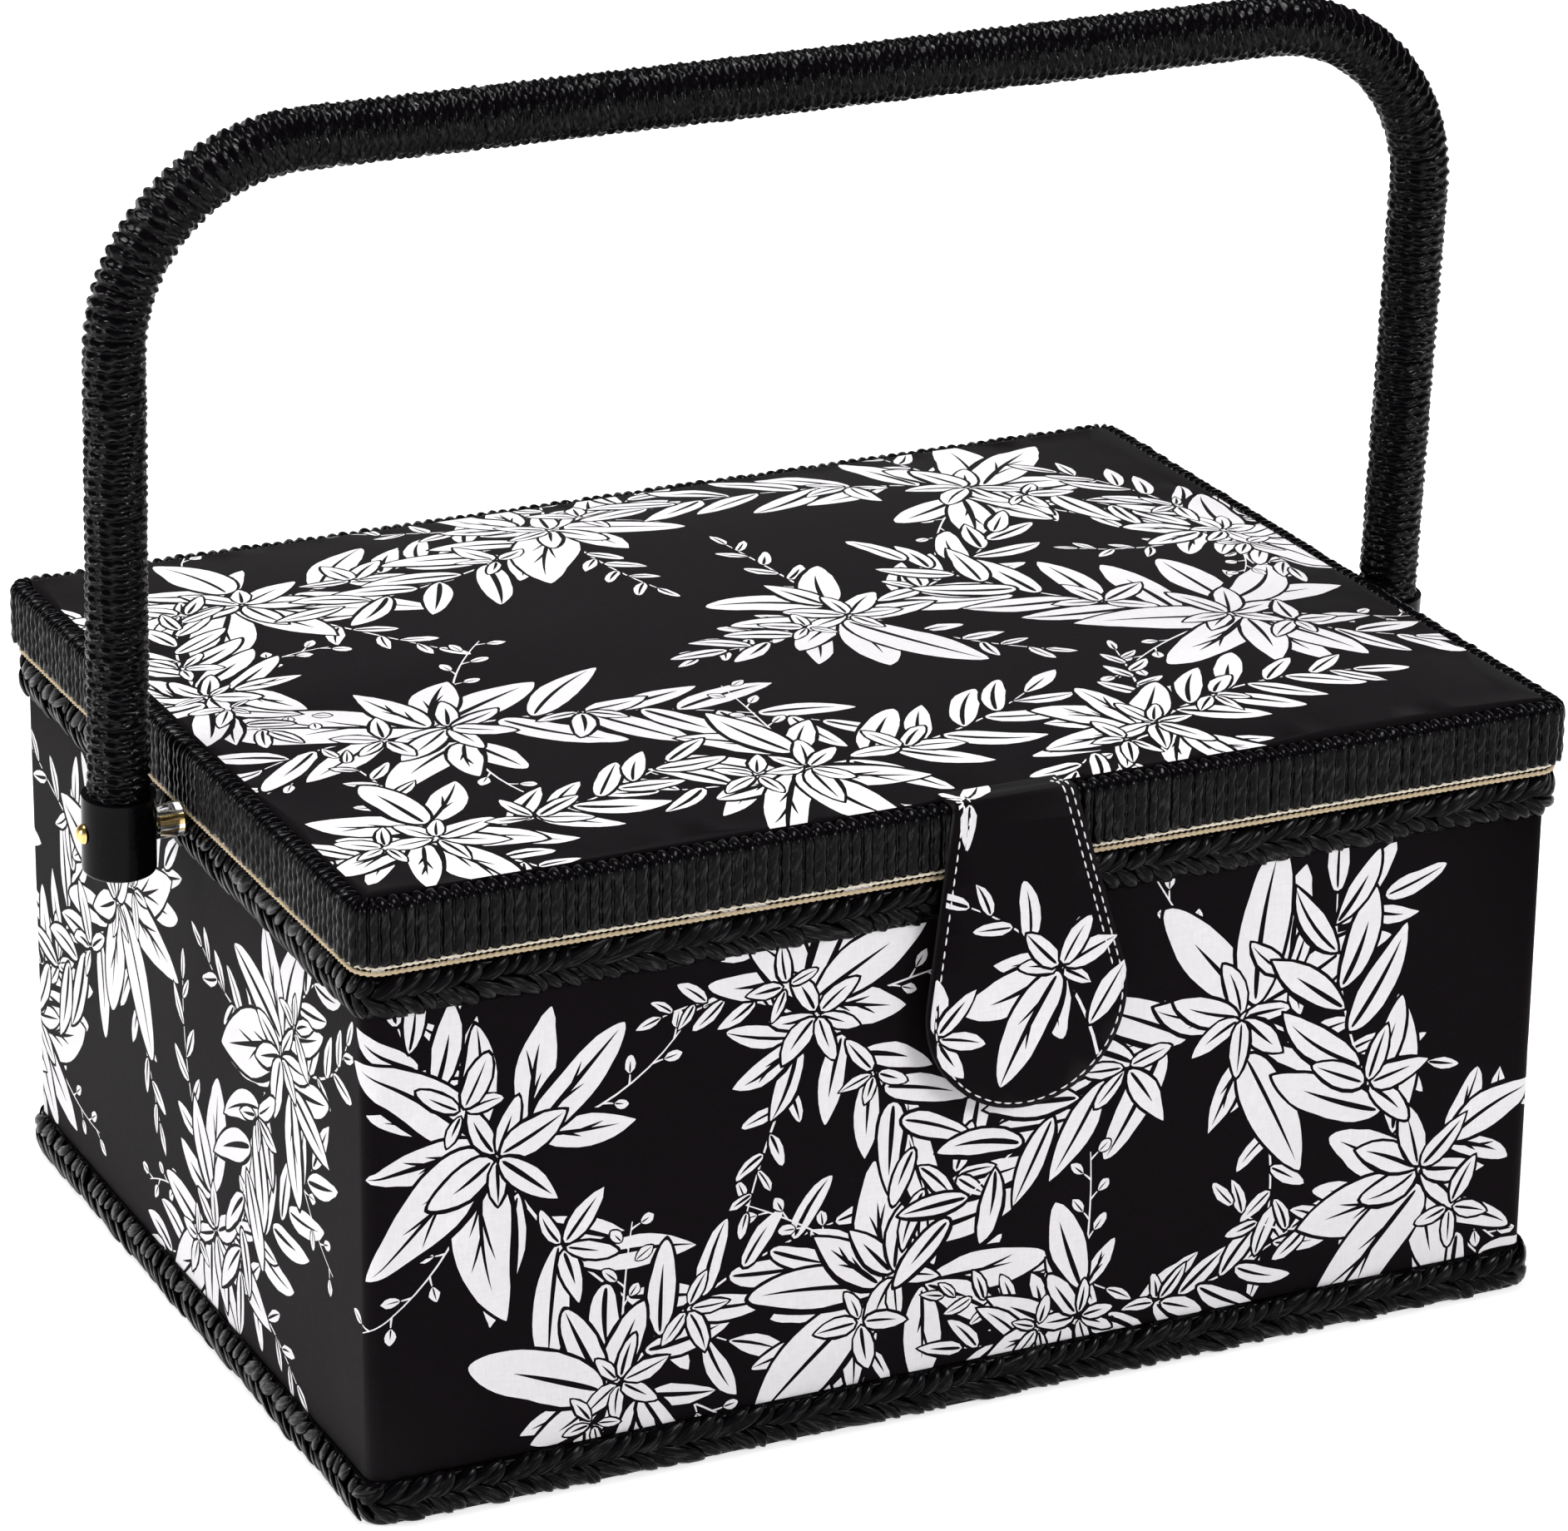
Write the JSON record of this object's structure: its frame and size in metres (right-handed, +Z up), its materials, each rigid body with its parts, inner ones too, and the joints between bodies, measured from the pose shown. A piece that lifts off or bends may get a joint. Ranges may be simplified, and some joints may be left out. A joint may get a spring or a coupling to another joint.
{
  "type": "sewing box",
  "caption": "Fabric-covered sewing box with a padded hinged lid, swinging wound handle, magnetic closure flap and lift-out compartment trays.",
  "frame": {"origin": "middle of the box's underside, on the surface it stands on", "axes": "+X to the right seen from the front, +Y to the back where the hinges are, +Z up"},
  "size_m": [0.3818, 0.2549, 0.3231],
  "materials": {
    "board_wood": "plain unfinished board",
    "printed_fabric": "black cotton with a white foliage print",
    "plaited_cord": "black waxed cord, plaited flat",
    "wound_cord": "black waxed twisted cord, wound closely",
    "cream_cotton": "cream twisted cotton",
    "beige_cotton": "beige twisted cotton",
    "lining_cloth": "plain pale cloth",
    "foam_padding": "soft wadding",
    "cushion_cloth": "black cotton, stuffed",
    "hinge_brass": "plated brass",
    "screw_brass": "polished brass",
    "plated_steel": "zinc plated",
    "clear_acrylic": "clear, polished",
    "handle_rod": "bent rod",
    "ferrule_plastic": "satin black moulding",
    "tray_plastic": "white moulding"
  },
  "bodies": {
    "box": {"base_panel": "board_wood", "front_panel": "board_wood", "back_panel": "board_wood", "left_panel": "board_wood", "right_panel": "board_wood", "outer_fabric": "printed_fabric", "rim_braid": "plaited_cord", "base_braid": "plaited_cord", "box_edge_cord": "beige_cotton", "box_lining": "lining_cloth", "tray_ledge_front": "board_wood", "tray_ledge_back": "board_wood", "hinge_leaf_box_left": "hinge_brass", "hinge_leaf_box_right": "hinge_brass", "hinge_pin_left": "hinge_brass", "hinge_pin_right": "hinge_brass", "hinge_screws_box": "hinge_brass", "pivot_screw_left": "screw_brass", "pivot_screw_right": "screw_brass", "pivot_spacer_left": "clear_acrylic", "pivot_spacer_right": "clear_acrylic", "pivot_washers": "plated_steel", "pivot_nuts": "plated_steel", "catch_plate": "plated_steel"},
    "lid": {"lid_board": "board_wood", "lid_frame": "board_wood", "lid_padding": "foam_padding", "lid_fabric": "printed_fabric", "lid_border": "wound_cord", "lid_edge_cord": "cream_cotton", "lid_lining": "lining_cloth", "pin_cushion": "cushion_cloth", "hinge_leaf_lid_left": "hinge_brass", "hinge_leaf_lid_right": "hinge_brass", "hinge_screws_lid": "hinge_brass", "flap_root": "printed_fabric"},
    "flap": {"closure_flap": "printed_fabric", "flap_magnet": "plated_steel"},
    "handle": {"handle_core": "handle_rod", "handle_winding": "wound_cord", "ferrule_left": "ferrule_plastic", "ferrule_right": "ferrule_plastic"},
    "tray_left": {"tray_left": "tray_plastic"},
    "tray_right": {"tray_right": "tray_plastic"}
  },
  "joints": [
    {"name": "lid_hinge", "type": "hinge", "parent": "box", "child": "lid", "pos_m": [0, 0.1259, 0.1464], "axis": [-1, 0, 0], "range_deg": [0, 100]},
    {"name": "handle_swing", "type": "hinge", "parent": "box", "child": "handle", "pos_m": [0, -0.0054, 0.1423], "axis": [-1, 0, 0], "range_deg": [0, 120]},
    {"name": "flap_hinge", "type": "hinge", "parent": "lid", "child": "flap", "pos_m": [0.0053, -0.12535, 0.164], "axis": [-1, 0, 0], "range_deg": [0, 75]},
    {"name": "tray_left_lift", "type": "slide", "parent": "box", "child": "tray_left", "axis": [0, 0, 1], "range_m": [0, 0.02]},
    {"name": "tray_right_lift", "type": "slide", "parent": "box", "child": "tray_right", "axis": [0, 0, 1], "range_m": [0, 0.02]}
  ],
  "couplings": [
    {"joint": "handle_swing", "follows": "lid_hinge", "ratio": 1.2}
  ]
}
